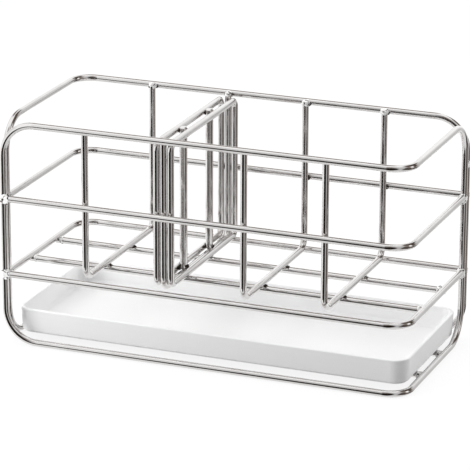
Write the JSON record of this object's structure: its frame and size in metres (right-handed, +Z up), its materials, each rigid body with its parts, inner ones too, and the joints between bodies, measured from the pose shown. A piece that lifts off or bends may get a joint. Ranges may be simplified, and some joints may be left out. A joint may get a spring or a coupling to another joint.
{
  "type": "kitchen sink caddy",
  "caption": "Open wire basket on folded wire hoops for the sink side, with a lift-out wire divider and a loose drip tray under it.",
  "frame": {"origin": "on the standing surface, under the middle of the caddy", "axes": "+X along the length to the right seen from the front, -Y to the front, +Z up"},
  "size_m": [0.22, 0.098, 0.12],
  "materials": {
    "wire": "polished stainless steel",
    "tray": "fine satin white"
  },
  "bodies": {
    "frame": {"front_hoop": "wire", "back_hoop": "wire", "front_mid_rail": "wire", "back_mid_rail": "wire", "front_floor_rail": "wire", "back_floor_rail": "wire", "basket_wire_1": "wire", "basket_wire_2": "wire", "basket_wire_3": "wire", "basket_wire_4": "wire", "floor_wire_front": "wire", "floor_wire_back": "wire", "base_wire_front": "wire", "base_wire_back": "wire"},
    "divider": {"divider_left_loop": "wire", "divider_right_loop": "wire", "divider_front_bar": "wire", "divider_back_bar": "wire"},
    "tray": {"drip_tray": "tray"}
  },
  "joints": [
    {"name": "divider_lift", "type": "slide", "parent": "frame", "child": "divider", "axis": [0, 0, 1], "range_m": [0, 0.082]},
    {"name": "tray_lift", "type": "slide", "parent": "frame", "child": "tray", "axis": [0, 0, 1], "range_m": [0, 0.0173]}
  ]
}
